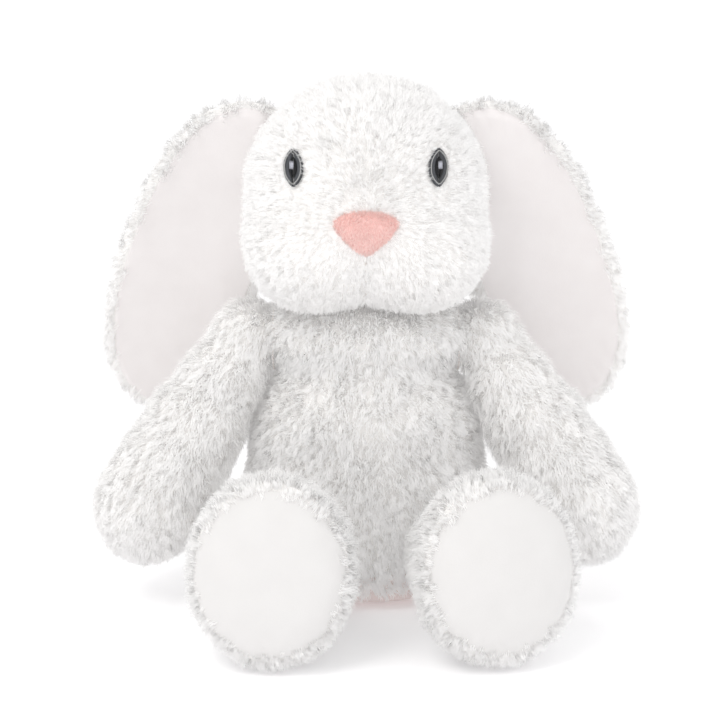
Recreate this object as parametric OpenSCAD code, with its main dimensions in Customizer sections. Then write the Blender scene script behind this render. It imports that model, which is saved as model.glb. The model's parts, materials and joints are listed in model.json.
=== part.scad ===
// Seated plush rabbit with lop ears, stuffed head, body and limbs, and a beaded seat.
// Millimetres, +Z up, facing -Y, standing on z = 0. "Left" is the -X side.

/* [Head] */
// Width of the head across the cheeks
head_w = 128; // [106:1:154]
// Depth of the head from brow to back
head_d = 116; // [100:1:136]
// Height of the head
head_h = 124; // [106:1:140]
// Width of the muzzle and cheeks
muzzle_w = 130; // [110:1:138]
// How far the muzzle stands out in front of the brow
muzzle_out = 7; // [3:1:12]
// Height of the muzzle
muzzle_h = 76; // [66:1:84]

/* [Face] */
// Distance between the eye centres
eye_gap = 72; // [60:1:80]
// Height of the eyes above the middle of the head
eye_rise = 18; // [12:1:28]
// Width of an eye
eye_w = 11; // [8:0.5:14]
// Height of an eye
eye_h = 19; // [14:0.5:24]
// Width of the nose patch
nose_w = 30; // [24:1:38]
// Height of the nose patch from its top corners to its tip
nose_h = 17; // [14:1:22]
// Height of the nose patch above the middle of the head
nose_rise = -12; // [-16:1:0]

/* [Body] */
// Width of the belly
belly_w = 136; // [113:1:160]
// Depth of the belly
belly_d = 110; // [96:1:124]
// Height of the belly's widest part above the seat
belly_z = 50; // [42:1:58]
// Half of the belly's full height, before the seat cuts it
belly_reach = 92; // [84:1:98]
// Width of the chest
chest_w = 98; // [86:1:112]
// Depth of the chest
chest_d = 88; // [78:1:98]
// Height of the chest's middle above the seat
chest_z = 110; // [104:1:114]
// Half of the chest's height
chest_reach = 39; // [34:1:42]
// Height of the neck's centre above the seat
neck_z = 152; // [148:1:160]
// Radius of the ball of filling in the neck
neck_r = 28; // [23:1:34]
// Diameter of the tail
tail_d = 42; // [30:1:54]

/* [Arms] */
// Sideways distance from the middle to a shoulder
shoulder_x = 64; // [61:1:69]
// Height of the shoulders above the seat
shoulder_z = 138; // [130:1:142]
// Radius of the shoulder
shoulder_r = 21; // [17:1:23]
// Distance from the shoulder to the middle of the paw
arm_len = 100; // [84:1:120]
// Angle between the arm and the vertical, seen from the front
arm_splay = 31; // [30:1:38]
// Angle by which the arm hangs forward
arm_forward = 17; // [12:1:24]
// Radius at the middle of the arm
elbow_r = 25; // [20:0.5:26]
// Radius of the paw
paw_r = 31; // [24:0.5:34]

/* [Legs] */
// Sideways distance from the middle to a hip
hip_x = 40; // [36:1:44]
// Radius of the hip
hip_r = 24; // [20:1:27]
// Distance from the hip to the middle of the foot
leg_len = 82; // [70:1:99]
// Width of the thigh
thigh_w = 56; // [46:1:60]
// Width of the foot
foot_w = 84; // [70:1:90]
// Height of the foot
foot_h = 96; // [84:1:104]
// Thickness of the foot from sole to instep
foot_t = 48; // [40:1:52]
// Angle by which the sole leans back
sole_lean = 8; // [4:1:12]
// Angle by which the left leg points outwards
left_turnout = 4; // [2:1:18]
// Angle by which the right leg points outwards
right_turnout = 16; // [2:1:18]

/* [Ears] */
// Sideways distance from the middle to the root of an ear
ear_root_x = 54; // [50:1:57]
// Length of an ear
ear_len = 180; // [150:1:190]
// Width of an ear
ear_w = 80; // [66:1:84]
// Radius of the curve across the ear
ear_cup_r = 130; // [110:1:160]
// Angle between the hanging ear and the vertical, seen from the front
ear_splay = 22; // [18:1:26]
// Angle by which the ear hangs backwards
ear_back_lean = 13; // [12:1:15]
// Width of the fur border outside the lining
ear_border = 6; // [3:0.5:9]

/* [Cloth and filling] */
// Thickness of the plush with its pile pressed down
plush_t = 5; // [3:0.5:6]
// Thickness of the short-pile cloth on the soles, nose and ears
short_pile_t = 1.4; // [1:0.1:2]
// Thickness of the seat panel
panel_t = 2; // [1.5:0.5:3]
// Thickness of an ear's plush back
ear_plush_t = 3; // [2:0.5:4]
// Height of the bean pouch
pouch_h = 30; // [20:1:36]
// Thickness of the bean pouch's cloth
pouch_t = 1; // [0.6:0.2:1.6]
// Diameter of the seam thread
thread_d = 1.2; // [0.8:0.1:1.4]

/* [Fits] */
// Gap between a limb's ball and the hollow that it turns in
turn_gap = 2; // [1.8:0.1:3]
// Gap between pieces that are sewn or laid together
lay_gap = 0.15; // [0.1:0.05:0.4]
// Gap between a hanging ear and the head beside it
head_gap = 0.8; // [0.4:0.1:3]
// Furthest that a leg lifts
leg_lift = 14; // [8:1:18]
// Furthest that a leg dips
leg_dip = 8; // [4:1:10]

/* [Hidden] */

FACES = 96;
LEFT = -1;
RIGHT = 1;

fur_white = [0.94, 0.93, 0.91];
velboa_white = [0.93, 0.90, 0.89];
nose_pink = [0.96, 0.80, 0.78];
thread_pale = [0.72, 0.72, 0.70];
thread_grey = [0.33, 0.35, 0.37];
thread_dark = [0.13, 0.14, 0.15];
thread_white = [0.85, 0.86, 0.90];
filling_white = [0.97, 0.97, 0.97];
bean_cloth = [0.88, 0.86, 0.80];
bean_plastic = [0.80, 0.82, 0.84];

neck_rise = 2;
neck_at = [0, neck_rise, neck_z];
head_sink = 2;
head_at = [0, 0, neck_z + head_sink + head_h / 2];
head_semi = [head_w, head_d, head_h] / 2;
muzzle_drop = 21;
muzzle_semi = [muzzle_w / 2, head_d * 0.9 / 2, muzzle_h / 2];
muzzle_at = head_at + [0, muzzle_semi[1] - head_semi[1] - muzzle_out, -muzzle_drop];

belly_at = [0, 0, belly_z];
belly_semi = [belly_w / 2, belly_d / 2, belly_reach];
chest_at = [0, neck_rise, chest_z];
chest_semi = [chest_w / 2, chest_d / 2, chest_reach];
seat_z = panel_t + lay_gap;
seat_share = sqrt(1 - pow((belly_z - seat_z) / belly_reach, 2));
tail_at = [0, belly_semi[1] + tail_d * 0.2, tail_d / 2 + 17];
tail_face_y = belly_semi[1] + lay_gap;

shoulder_y = -4;
hip_at = [hip_x, -38, 33];
hollow_r = hip_r + turn_gap;
lap_reach = 8;
lap_open = leg_lift + 8;
lap_top = lap_reach * tan(lap_open) + hollow_r / cos(lap_open);
thigh_semi = [thigh_w / 2, leg_len * 0.56, thigh_w / 2 + 1];
lap_shift = [0, -4, (lap_top - hollow_r) / 2];
lap_semi = [max(hollow_r, thigh_semi[0]) + 2, hollow_r + 5, (lap_top + hollow_r) / 2 + 0.5];
foot_semi = [foot_w, foot_t, foot_h] / 2;
foot_bottom = 0.3;
foot_low = norm([foot_semi[2] * cos(sole_lean), foot_semi[1] * sin(sole_lean)]);
foot_rise = foot_low + foot_bottom - hip_at[2];
sole_margin = 6;

ear_root = [ear_root_x, 6, head_at[2] + 38];
ear_root_r = 8.5;
ear_root_gap = 1.5;
ear_t = ear_plush_t + lay_gap + short_pile_t;
pouch_semi = [belly_w * 0.26, belly_d * 0.2, pouch_h / 2];
pouch_at = [0, belly_d * 0.15, seat_z + plush_t + 2 + pouch_h / 2];

// An egg with its three half-sizes, smaller by inset all round
module egg(at, semi, inset = 0) {
    translate(at)
        scale([semi[0] - inset, semi[1] - inset, semi[2] - inset])
            sphere(r = 1, $fn = FACES);
}

module ball(at, r) {
    translate(at) sphere(r = r, $fn = FACES);
}

// A thread ring round the X, Y or Z axis, given by the turn that stands it up
module thread_ring(at, ring_r, turn) {
    translate(at) rotate(turn) rotate_extrude($fn = FACES)
        translate([ring_r, 0]) circle(d = thread_d, $fn = 16);
}

// A part drawn on the left, or its mirror image on the right
module on_side(side) {
    if (side == LEFT) children();
    else mirror([1, 0, 0]) children();
}

// A bar that runs along Y through the whole head or body, standing on an outline
module bar_along_y(at, from_y, to_y) {
    translate([at[0], to_y, at[1]]) rotate([90, 0, 0])
        linear_extrude(height = to_y - from_y) children();
}

// A circle whose edge runs through two points and bulges outwards past their chord
module arc_disc(p, q, bulge) {
    chord = q - p;
    half = norm(chord) / 2;
    r = (half * half + bulge * bulge) / (2 * bulge);
    inward = [-chord[1], chord[0]] / norm(chord);
    centre = (p + q) / 2 + inward * (r - bulge);
    translate(centre) circle(r = r, $fn = 180);
}

// ---- Head ----

module head_form(inset) {
    egg(head_at, head_semi, inset);
    egg(muzzle_at, muzzle_semi, inset);
}

// Hollows in the head: the neck, and the two ear roots
module head_hollows(extra) {
    ball(neck_at, neck_r + turn_gap / 4 + extra);
    for (side = [LEFT, RIGHT])
        ball([side * ear_root[0], ear_root[1], ear_root[2]], ear_root_r + ear_root_gap + extra);
}

// What fills a skin: the form inside its cloth, clear of the hollows' own cloth
module head_cavity(clear) {
    difference() {
        head_form(plush_t + clear);
        head_hollows(plush_t + clear);
    }
}

module head_shell() color(fur_white) {
    difference() {
        head_form(0);
        head_cavity(0);
        head_hollows(0);
    }
}

module head_stuffing() color(filling_white) head_cavity(lay_gap);

// A thin layer that lies on the head, from one height above it to another
module head_layer(low, high) {
    difference() {
        head_form(-high);
        head_form(-low);
    }
}

nose_corner = nose_h * 0.4;

module nose_outline() {
    left_top = [-nose_w / 2, nose_corner];
    right_top = [nose_w / 2, nose_corner];
    tip = [0, nose_corner - nose_h];
    intersection() {
        arc_disc(left_top, tip, 2.5);
        arc_disc(tip, right_top, 2.5);
        arc_disc(right_top, left_top, 3);
    }
}

module nose_patch() color(nose_pink) {
    intersection() {
        head_layer(lay_gap, short_pile_t);
        bar_along_y([0, head_at[2] + nose_rise], -head_d, 0) nose_outline();
    }
}

module muzzle_seam() color(velboa_white) {
    seam_top = head_at[2] + nose_rise + nose_corner - nose_h - 1;
    seam_len = 30;
    intersection() {
        head_layer(lay_gap, thread_d);
        translate([-thread_d / 2, -head_d, seam_top - seam_len]) cube([thread_d, head_d, seam_len]);
    }
}

// ---- Eyes: each is embroidered, with an outline, an iris, a pupil and a glint ----

module almond(w, h) {
    r = (h * h + w * w) / (4 * w);
    intersection() {
        translate([r - w / 2, 0]) circle(r = r, $fn = FACES);
        translate([w / 2 - r, 0]) circle(r = r, $fn = FACES);
    }
}

outline_share = 0.80;
pupil_share = 0.52;
glint_w = 1.7;
glint_h = 4.4;
glint_shift = [-0.4, 1.1];

module eye_layer(side) {
    on_side(side) intersection() {
        head_layer(lay_gap, 1);
        bar_along_y([-eye_gap / 2, head_at[2] + eye_rise], -head_d, 0) children();
    }
}

module eye_glint(grow) {
    translate(glint_shift) square([glint_w + 2 * grow, glint_h + 2 * grow], center = true);
}

module eye_outline(side) color(thread_pale) eye_layer(side) difference() {
    almond(eye_w, eye_h);
    almond(eye_w * outline_share, eye_h * outline_share);
}

module eye_iris(side) color(thread_grey) eye_layer(side) difference() {
    almond(eye_w * outline_share - lay_gap, eye_h * outline_share - lay_gap);
    almond(eye_w * pupil_share, eye_h * pupil_share);
}

module eye_pupil(side) color(thread_dark) eye_layer(side) difference() {
    almond(eye_w * pupil_share - lay_gap, eye_h * pupil_share - lay_gap);
    eye_glint(lay_gap);
}

module eye_highlight(side) color(thread_white) eye_layer(side) intersection() {
    eye_glint(0);
    almond(eye_w * pupil_share - lay_gap, eye_h * pupil_share - lay_gap);
}

// ---- Neck ----

module neck_stuffing() color(filling_white) ball(neck_at, neck_r);

// The thread round the neck, a little below the middle of its ball, clear of a nodding head
module neck_seam() color(velboa_white) {
    drop = 4;
    lie_r = neck_r + lay_gap + thread_d / 2;
    thread_ring(neck_at - [0, 0, drop], sqrt(lie_r * lie_r - drop * drop), [0, 0, 0]);
}

// ---- Body ----

module body_form(inset) {
    egg(belly_at, belly_semi, inset);
    egg(chest_at, chest_semi, inset);
}

// The hollow in the lap that a thigh turns in, an egg whose poles lie front and back
module lap_egg(at, extra) {
    translate(at)
        scale([lap_semi[0] + extra, lap_semi[1] + extra, lap_semi[2] + extra])
            rotate([90, 0, 0]) sphere(r = 1, $fn = FACES);
}

// Hollows in the body: the neck, both shoulders, and both hips with room above for a lifted leg
module body_hollows(extra) {
    ball(neck_at, neck_r + turn_gap / 4 + extra);
    for (side = [LEFT, RIGHT]) {
        ball([side * shoulder_x, shoulder_y, shoulder_z], shoulder_r + turn_gap + extra);
        lap_egg([side * hip_at[0], hip_at[1], hip_at[2]] + lap_shift, extra);
    }
}

module above(z) {
    translate([-belly_w, -belly_d, z]) cube([2 * belly_w, 2 * belly_d, neck_z]);
}

module body_cavity(clear) {
    difference() {
        intersection() {
            body_form(plush_t + clear);
            above(seat_z + plush_t + clear);
        }
        body_hollows(plush_t + clear);
    }
}

module body_shell() color(fur_white) {
    difference() {
        intersection() {
            body_form(0);
            above(seat_z);
        }
        body_cavity(0);
        body_hollows(0);
    }
}

module body_stuffing() color(filling_white) {
    difference() {
        body_cavity(lay_gap);
        egg(pouch_at, pouch_semi, -lay_gap);
    }
}

module seat_panel() color(velboa_white) {
    intersection() {
        egg([0, 0, 0], [belly_semi[0] * seat_share - 1, belly_semi[1] * seat_share - 1, belly_z]);
        translate([-belly_w, -belly_d, 0]) cube([2 * belly_w, 2 * belly_d, panel_t]);
    }
}

module bean_pouch() color(bean_cloth) {
    difference() {
        egg(pouch_at, pouch_semi);
        egg(pouch_at, pouch_semi, pouch_t);
    }
}

module bean_fill() color(bean_plastic) egg(pouch_at, pouch_semi, pouch_t + lay_gap);

// The hand-sewn seam up the back, where the filling went in
module back_seam() color(velboa_white) {
    seam_low = belly_z + 18;
    seam_len = 46;
    intersection() {
        difference() {
            body_form(-thread_d);
            body_form(-lay_gap);
        }
        translate([-thread_d / 2, 0, seam_low]) cube([thread_d, belly_d, seam_len]);
    }
}

module behind_body() {
    translate([-tail_d, tail_face_y, 0]) cube([2 * tail_d, tail_d, 2 * tail_at[2]]);
}

// The tail's ball with its flat face against the body
module tail_form(inset) {
    intersection() {
        translate(tail_at) rotate([90, 0, 0]) sphere(r = tail_d / 2 - inset, $fn = FACES);
        behind_body();
    }
}

module tail_shell() color(fur_white) {
    difference() {
        tail_form(0);
        tail_form(plush_t);
    }
}

module tail_stuffing() color(filling_white) tail_form(plush_t + lay_gap);

// ---- Arms ----

module place_arm(side) {
    translate([side * shoulder_x, shoulder_y, shoulder_z])
        rotate([-arm_forward, -side * arm_splay, 0]) children();
}

module arm_form(inset) {
    ball([0, 0, 0], shoulder_r - inset);
    egg([0, 0, -arm_len * 0.5], [elbow_r, elbow_r, arm_len * 0.6], inset);
    egg([0, 0, -arm_len], [paw_r, paw_r, paw_r * 1.08], inset);
}

module arm_shell(side) color(fur_white) place_arm(side) {
    difference() {
        arm_form(0);
        arm_form(plush_t);
    }
}

module arm_stuffing(side) color(filling_white) place_arm(side) arm_form(plush_t + lay_gap);

// The thread that sews the arm on lies on the inner side of the shoulder's ball
module shoulder_seam(side) color(velboa_white) {
    inward = shoulder_r * 0.7;
    ring_r = sqrt(pow(shoulder_r + turn_gap / 2, 2) - inward * inward);
    thread_ring([side * (shoulder_x - inward), shoulder_y, shoulder_z], ring_r, [0, 90, 0]);
}

// ---- Legs ----

module place_leg(side, turnout) {
    translate([side * hip_at[0], hip_at[1], hip_at[2]]) rotate([0, 0, side * turnout]) children();
}

module foot_egg(inset) {
    translate([0, -leg_len, foot_rise]) rotate([-sole_lean, 0, 0])
        scale([foot_semi[0] - inset, foot_semi[1] - inset, foot_semi[2] - inset])
            rotate([90, 0, 0]) sphere(r = 1, $fn = FACES);
}

module leg_form(inset) {
    ball([0, 0, 0], hip_r - inset);
    egg([0, -leg_len * 0.48, 2], thigh_semi, inset);
    foot_egg(inset);
}

module leg_shell(side, turnout) color(fur_white) place_leg(side, turnout) {
    difference() {
        leg_form(0);
        leg_form(plush_t);
    }
}

module leg_stuffing(side, turnout) color(filling_white)
    place_leg(side, turnout) leg_form(plush_t + lay_gap);

// The round of short pile on the front of the foot, inside a border of fur
module foot_sole(side, turnout) color(velboa_white) place_leg(side, turnout) {
    intersection() {
        difference() {
            foot_egg(-short_pile_t);
            foot_egg(-lay_gap);
        }
        translate([0, -leg_len, foot_rise]) rotate([90 - sole_lean, 0, 0])
            cylinder(r = min(foot_semi[0], foot_semi[2]) - sole_margin, h = foot_t, $fn = FACES);
    }
}

module hip_seam(side) color(velboa_white) {
    forward = 2;
    ring_r = sqrt(pow(hip_r + turn_gap / 2, 2) - forward * forward);
    thread_ring([side * hip_at[0], hip_at[1] - forward, hip_at[2]], ring_r, [90, 0, 0]);
}

// ---- Ears ----

ear_shift = 8;

module place_ear(side) {
    translate([side * ear_root[0], ear_root[1], ear_root[2]])
        rotate([ear_back_lean, -side * ear_splay, 0]) children();
}

// The ear's outline, extruded through its thickness: its long axis hangs down from the root
module ear_outline(side, border) {
    translate([side * ear_shift, ear_w, -ear_len / 2]) rotate([90, 0, 0])
        scale([ear_w / 2 - border, ear_len / 2 - border, 1])
            cylinder(r = 1, h = 2 * ear_w, $fn = FACES);
}

// A layer of the cupped ear, between two depths behind its lined face
module ear_layer(side, front, back) {
    intersection() {
        translate([side * ear_shift, -ear_cup_r, -ear_len / 2]) difference() {
            cylinder(r = ear_cup_r + back, h = 2 * ear_len, center = true, $fn = FACES);
            cylinder(r = ear_cup_r + front, h = 2 * ear_len, center = true, $fn = FACES);
        }
        children();
        translate([-ear_w * 2, -ear_w, -ear_len * 1.5]) cube([ear_w * 4, ear_w * 2, ear_len * 2]);
    }
}

// The inner edge of an ear gives way to the head, which it hangs against
module beside_head(side) {
    difference() {
        place_ear(side) children();
        head_form(-head_gap);
    }
}

module ear_back(side) color(fur_white) {
    beside_head(side) ear_layer(side, ear_t - ear_plush_t, ear_t) ear_outline(side, 0);
    place_ear(side) ball([0, 0, 0], ear_root_r);
}

module ear_lining(side) color(velboa_white) difference() {
    beside_head(side) ear_layer(side, 0, short_pile_t) ear_outline(side, ear_border);
    place_ear(side) ball([0, 0, 0], ear_root_r + lay_gap);
}

module ear_seam(side) color(velboa_white)
    thread_ring([side * ear_root[0], ear_root[1], ear_root[2]],
        ear_root_r + ear_root_gap / 2, [90, 0, 0]);

head_shell();
head_stuffing();
nose_patch();
muzzle_seam();
eye_outline(LEFT);  // left_eye_outline
eye_iris(LEFT);  // left_eye_iris
eye_pupil(LEFT);  // left_eye_pupil
eye_highlight(LEFT);  // left_eye_highlight
eye_outline(RIGHT);  // right_eye_outline
eye_iris(RIGHT);  // right_eye_iris
eye_pupil(RIGHT);  // right_eye_pupil
eye_highlight(RIGHT);  // right_eye_highlight
ear_back(LEFT);  // left_ear_back
ear_lining(LEFT);  // left_ear_lining
ear_seam(LEFT);  // left_ear_seam
ear_back(RIGHT);  // right_ear_back
ear_lining(RIGHT);  // right_ear_lining
ear_seam(RIGHT);  // right_ear_seam
neck_stuffing();
neck_seam();
body_shell();
body_stuffing();
seat_panel();
bean_pouch();
bean_fill();
back_seam();
tail_shell();
tail_stuffing();
arm_shell(LEFT);  // left_arm_shell
arm_stuffing(LEFT);  // left_arm_stuffing
shoulder_seam(LEFT);  // left_shoulder_seam
arm_shell(RIGHT);  // right_arm_shell
arm_stuffing(RIGHT);  // right_arm_stuffing
shoulder_seam(RIGHT);  // right_shoulder_seam
leg_shell(LEFT, left_turnout);  // left_leg_shell
leg_stuffing(LEFT, left_turnout);  // left_leg_stuffing
foot_sole(LEFT, left_turnout);  // left_foot_sole
hip_seam(LEFT);  // left_hip_seam
leg_shell(RIGHT, right_turnout);  // right_leg_shell
leg_stuffing(RIGHT, right_turnout);  // right_leg_stuffing
foot_sole(RIGHT, right_turnout);  // right_foot_sole
hip_seam(RIGHT);  // right_hip_seam
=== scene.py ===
# %% [markdown]
# # A seated plush rabbit with lop ears
#
# The real toy is cut from white long-pile plush, sewn inside out, turned and stuffed. Short-pile
# velboa covers the soles, the nose and the inside of the ears, and the eyes are embroidered.
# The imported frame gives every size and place; this script gives each piece its cloth, its pile and
# its thread. All lengths are in metres, so a value times MM is a length in millimetres.

# %% The frame and the tools
import json
import math
import random

import bmesh
import bpy
from mathutils import Matrix, Vector, noise
from mathutils.bvhtree import BVHTree

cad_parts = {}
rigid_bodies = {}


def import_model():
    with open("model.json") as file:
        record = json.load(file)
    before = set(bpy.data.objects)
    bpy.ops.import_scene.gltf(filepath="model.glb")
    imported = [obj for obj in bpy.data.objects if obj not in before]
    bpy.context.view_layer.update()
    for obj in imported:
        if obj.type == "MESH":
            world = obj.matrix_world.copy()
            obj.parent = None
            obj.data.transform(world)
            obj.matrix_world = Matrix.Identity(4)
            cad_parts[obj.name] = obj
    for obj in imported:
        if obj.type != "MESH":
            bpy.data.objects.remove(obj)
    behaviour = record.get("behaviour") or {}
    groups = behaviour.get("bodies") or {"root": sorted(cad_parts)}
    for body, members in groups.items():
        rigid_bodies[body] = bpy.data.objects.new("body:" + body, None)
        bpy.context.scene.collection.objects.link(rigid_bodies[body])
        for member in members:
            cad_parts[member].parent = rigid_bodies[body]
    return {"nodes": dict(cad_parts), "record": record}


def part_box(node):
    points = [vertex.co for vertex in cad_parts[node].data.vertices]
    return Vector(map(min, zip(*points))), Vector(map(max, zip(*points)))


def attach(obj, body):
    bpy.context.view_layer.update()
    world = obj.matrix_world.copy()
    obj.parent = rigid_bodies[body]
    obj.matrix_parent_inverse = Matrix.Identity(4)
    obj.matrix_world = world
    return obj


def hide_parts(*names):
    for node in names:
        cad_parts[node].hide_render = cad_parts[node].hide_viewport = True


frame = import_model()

MM = 0.001
SIDES = {"left": -1, "right": 1}
UP = Vector((0, 0, 1))
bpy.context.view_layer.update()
scene = bpy.context.scene

# %% [markdown]
# ## Camera, floor and light
#
# A white toy shown for sale needs a bright, even room: a white world lights every side, one
# broad lamp above and in front gives the forms a soft direction, and a second fills from the right.
# The floor is a plain white sheet of paper. It could be a lit plane with a curve at the back, but a
# floor that fades into the white world needs no curve.

# %% Camera
CAMERA_AIM = Vector((0, 0, 140 * MM))
CAMERA_RISE = math.radians(12)
CAMERA_AWAY = 1.0
VIEW_WIDTH = 388 * MM          # what the frame takes in at the aim point
AIM_IN_FRAME = (0.0083, -0.0375)  # how far the aim point lies off the frame's middle, as shares


def put_in_scene(name, data):
    obj = bpy.data.objects.new(name, data)
    scene.collection.objects.link(obj)
    return obj


camera = put_in_scene("camera", bpy.data.cameras.new("camera"))
towards_camera = Vector((0, -math.cos(CAMERA_RISE), math.sin(CAMERA_RISE)))
camera.location = CAMERA_AIM + towards_camera * CAMERA_AWAY
camera.rotation_euler = (-towards_camera).to_track_quat("-Z", "Y").to_euler()
camera.data.lens = camera.data.sensor_width * CAMERA_AWAY / VIEW_WIDTH
camera.data.shift_x = -AIM_IN_FRAME[0]
camera.data.shift_y = AIM_IN_FRAME[1]
scene.camera = camera
print("lens in mm:", round(camera.data.lens, 1))

# %% [markdown]
# The toy is lit by its surroundings more than by any lamp, so the world does most of the work. One
# lamp alone would leave the shaded side of a white toy dull grey.

# %% Light and world
WORLD_STRENGTH = 1.0


def softbox(name, place, width, watts, colour):
    lamp = put_in_scene(name, bpy.data.lights.new(name, "AREA"))
    lamp.data.shape = "DISK"
    lamp.data.size = width
    lamp.data.energy = watts
    lamp.data.color = colour
    lamp.location = place
    lamp.rotation_euler = (CAMERA_AIM - Vector(place)).to_track_quat("-Z", "Y").to_euler()


world = bpy.data.worlds.new("white_room")
world.use_nodes = True
background = world.node_tree.nodes["Background"]
background.inputs["Color"].default_value = (1.0, 1.0, 1.0, 1.0)
background.inputs["Strength"].default_value = WORLD_STRENGTH
scene.world = world
scene.view_settings.view_transform = "Standard"
scene.cycles.diffuse_bounces = 8
scene.cycles.transmission_bounces = 8
scene.cycles.max_bounces = 10
softbox("key_light", (-0.55, -0.75, 1.15), 0.7, 5.0, (1.0, 0.985, 0.965))
softbox("fill_light", (0.9, -0.7, 0.55), 0.8, 1.0, (0.97, 0.98, 1.0))

# %% [markdown]
# ## Shader and modifier maths in plain Python
#
# Wiring nodes by hand hides the idea behind them. The small class below wraps one socket and gives
# it + - * and /, so that a pattern reads as the formula it is. It works in a material and in a
# geometry tree alike, because both know the Math node.

# %% A socket that can be used in expressions
class Wire:
    def __init__(self, graph, socket):
        self.graph = graph
        self.socket = socket

    def maths(self, operation, *others):
        return self.graph.add("ShaderNodeMath", {"operation": operation}, {
            place: value for place, value in enumerate((self, *others))})

    def __add__(self, other):
        return self.maths("ADD", other)

    def __sub__(self, other):
        return self.maths("SUBTRACT", other)

    def __rsub__(self, other):
        return self.graph.add("ShaderNodeMath", {"operation": "SUBTRACT"}, {0: other, 1: self})

    def __mul__(self, other):
        return self.maths("MULTIPLY", other)

    def power(self, other):
        return self.maths("POWER", other)

    def clamped(self):
        return self.graph.add("ShaderNodeClamp", {}, {0: self})

    __radd__ = __add__
    __rmul__ = __mul__


class Graph:
    def __init__(self, tree):
        self.tree = tree

    def feed(self, socket, value):
        if isinstance(value, Wire):
            self.tree.links.new(value.socket, socket)
        else:
            socket.default_value = value

    def add(self, kind, settings, inputs, output=0):
        """One node: its settings first, then its sockets by name or by place."""
        node = self.tree.nodes.new(kind)
        for key, value in settings.items():
            if key == "stops":
                ramp = node.color_ramp.elements
                for stop, (place, colour) in enumerate(value):
                    element = ramp[stop] if stop < 2 else ramp.new(place)
                    element.position = place
                    element.color = (*colour, 1.0)
            else:
                setattr(node, key, value)
        for key, value in inputs.items():
            self.feed(node.inputs[key], value)
        return Wire(self, node.outputs[output])

    def vector(self, operation, *values):
        return self.add("ShaderNodeVectorMath", {"operation": operation},
                        dict(enumerate(values)))

    def scaled(self, vector, factor):
        return self.add("ShaderNodeVectorMath", {"operation": "SCALE"}, {0: vector, "Scale": factor})

    def noise(self, place, size, detail=2.0, roughness=0.5, output=0):
        """Soft noise whose grains are about that size in metres."""
        return self.add("ShaderNodeTexNoise", {}, {
            "Vector": place, "Scale": 1 / size, "Detail": detail, "Roughness": roughness}, output)

    def mixed(self, share, low, high):
        """A colour between two colours."""
        node = self.tree.nodes.new("ShaderNodeMix")
        node.data_type = "RGBA"
        colours = [s for s in node.inputs if s.type == "RGBA"]
        self.feed(node.inputs["Factor"], share)
        for socket, colour in zip(colours, (low, high)):
            self.feed(socket, colour if isinstance(colour, Wire) else (*colour, 1.0))
        return Wire(self, next(s for s in node.outputs if s.type == "RGBA"))


# %% [markdown]
# ## Materials
#
# Each finish is one function. What varies over a surface goes only into the base colour, the
# roughness and the bump; what is the same all over is set straight on the shader.
#
# The pile is the finish that matters most. Every hair piece carries two numbers in its UV map: the
# tone of its tuft, and how far along the hair a point lies. Roots lie in each other's shade, so the
# root colour is painted shade, a warmer grey, while tips are nearly pure white; the colour is mixed
# from both. White fibres also pass light on to each other: half of it goes through them, and a
# faint glow stands for the light that so few hairs cannot scatter. The paper floor glows faintly
# for the same reason.

# %% The finishes
LIGHT_THROUGH_PILE = 0.5
GLOW_IN_PILE = 0.13


def new_finish(name, roughness, sheen=0.0, sheen_roughness=0.5):
    material = bpy.data.materials.new(name)
    material.use_nodes = True
    graph = Graph(material.node_tree)
    shader = material.node_tree.nodes["Principled BSDF"]
    shader.inputs["Roughness"].default_value = roughness
    shader.inputs["Specular IOR Level"].default_value = 0.2
    shader.inputs["Sheen Weight"].default_value = sheen
    shader.inputs["Sheen Roughness"].default_value = sheen_roughness
    return material, graph, shader


def own_place(graph):
    return graph.add("ShaderNodeTexCoord", {}, {}, "Object")


def bump(graph, shader, height, distance, strength=1.0):
    raised = graph.add("ShaderNodeBump", {}, {
        "Height": height, "Distance": distance, "Strength": strength})
    graph.feed(shader.inputs["Normal"], raised)


def pile_finish(name, root, tip, shade):
    """Long or short pile: a root colour darkened as painted shade among the hairs, a tip colour, and the
    darker shade that some tufts lean to.
    """
    material, graph, shader = new_finish(name, 0.9, sheen=0.15)
    uv = graph.add("ShaderNodeUVMap", {"uv_map": "OFBake"}, {})
    parts = graph.add("ShaderNodeSeparateXYZ", {}, {0: uv})
    tone = Wire(graph, parts.socket.node.outputs["X"])
    along = Wire(graph, parts.socket.node.outputs["Y"])
    # Painted shade: the root colour, darker and warmer, fades to the tip colour along each hair.
    colour = graph.mixed(along.power(0.7).clamped(), root, tip)
    colour = graph.mixed((tone * 0.6).clamped(), colour, shade)
    graph.feed(shader.inputs["Base Color"], colour)
    shader.inputs["Emission Color"].default_value = (*tip, 1.0)
    shader.inputs["Emission Strength"].default_value = GLOW_IN_PILE
    through = material.node_tree.nodes.new("ShaderNodeBsdfTranslucent")
    through.inputs["Color"].default_value = (*tip, 1.0)
    both = material.node_tree.nodes.new("ShaderNodeMixShader")
    both.inputs[0].default_value = LIGHT_THROUGH_PILE
    links = material.node_tree.links
    links.new(shader.outputs[0], both.inputs[1])
    links.new(through.outputs[0], both.inputs[2])
    links.new(both.outputs[0], material.node_tree.nodes["Material Output"].inputs["Surface"])
    return material


def cloth_finish(name, light, dark, nap_size, nap_height, roughness=0.85, sheen=0.25):
    """Short-pile or knitted cloth: a fine nap, and soft patches where the pile was stroked."""
    material, graph, shader = new_finish(name, roughness, sheen)
    place = own_place(graph)
    nap = graph.noise(place, nap_size, 3.0, 0.6)
    stroked = graph.noise(place, 14 * MM, 2.0)
    share = (nap * 0.35 + stroked * 0.65 - 0.2).clamped()
    graph.feed(shader.inputs["Base Color"], graph.mixed(share, dark, light))
    bump(graph, shader, nap * 0.7 + stroked * 0.3, nap_height)
    return material


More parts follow.
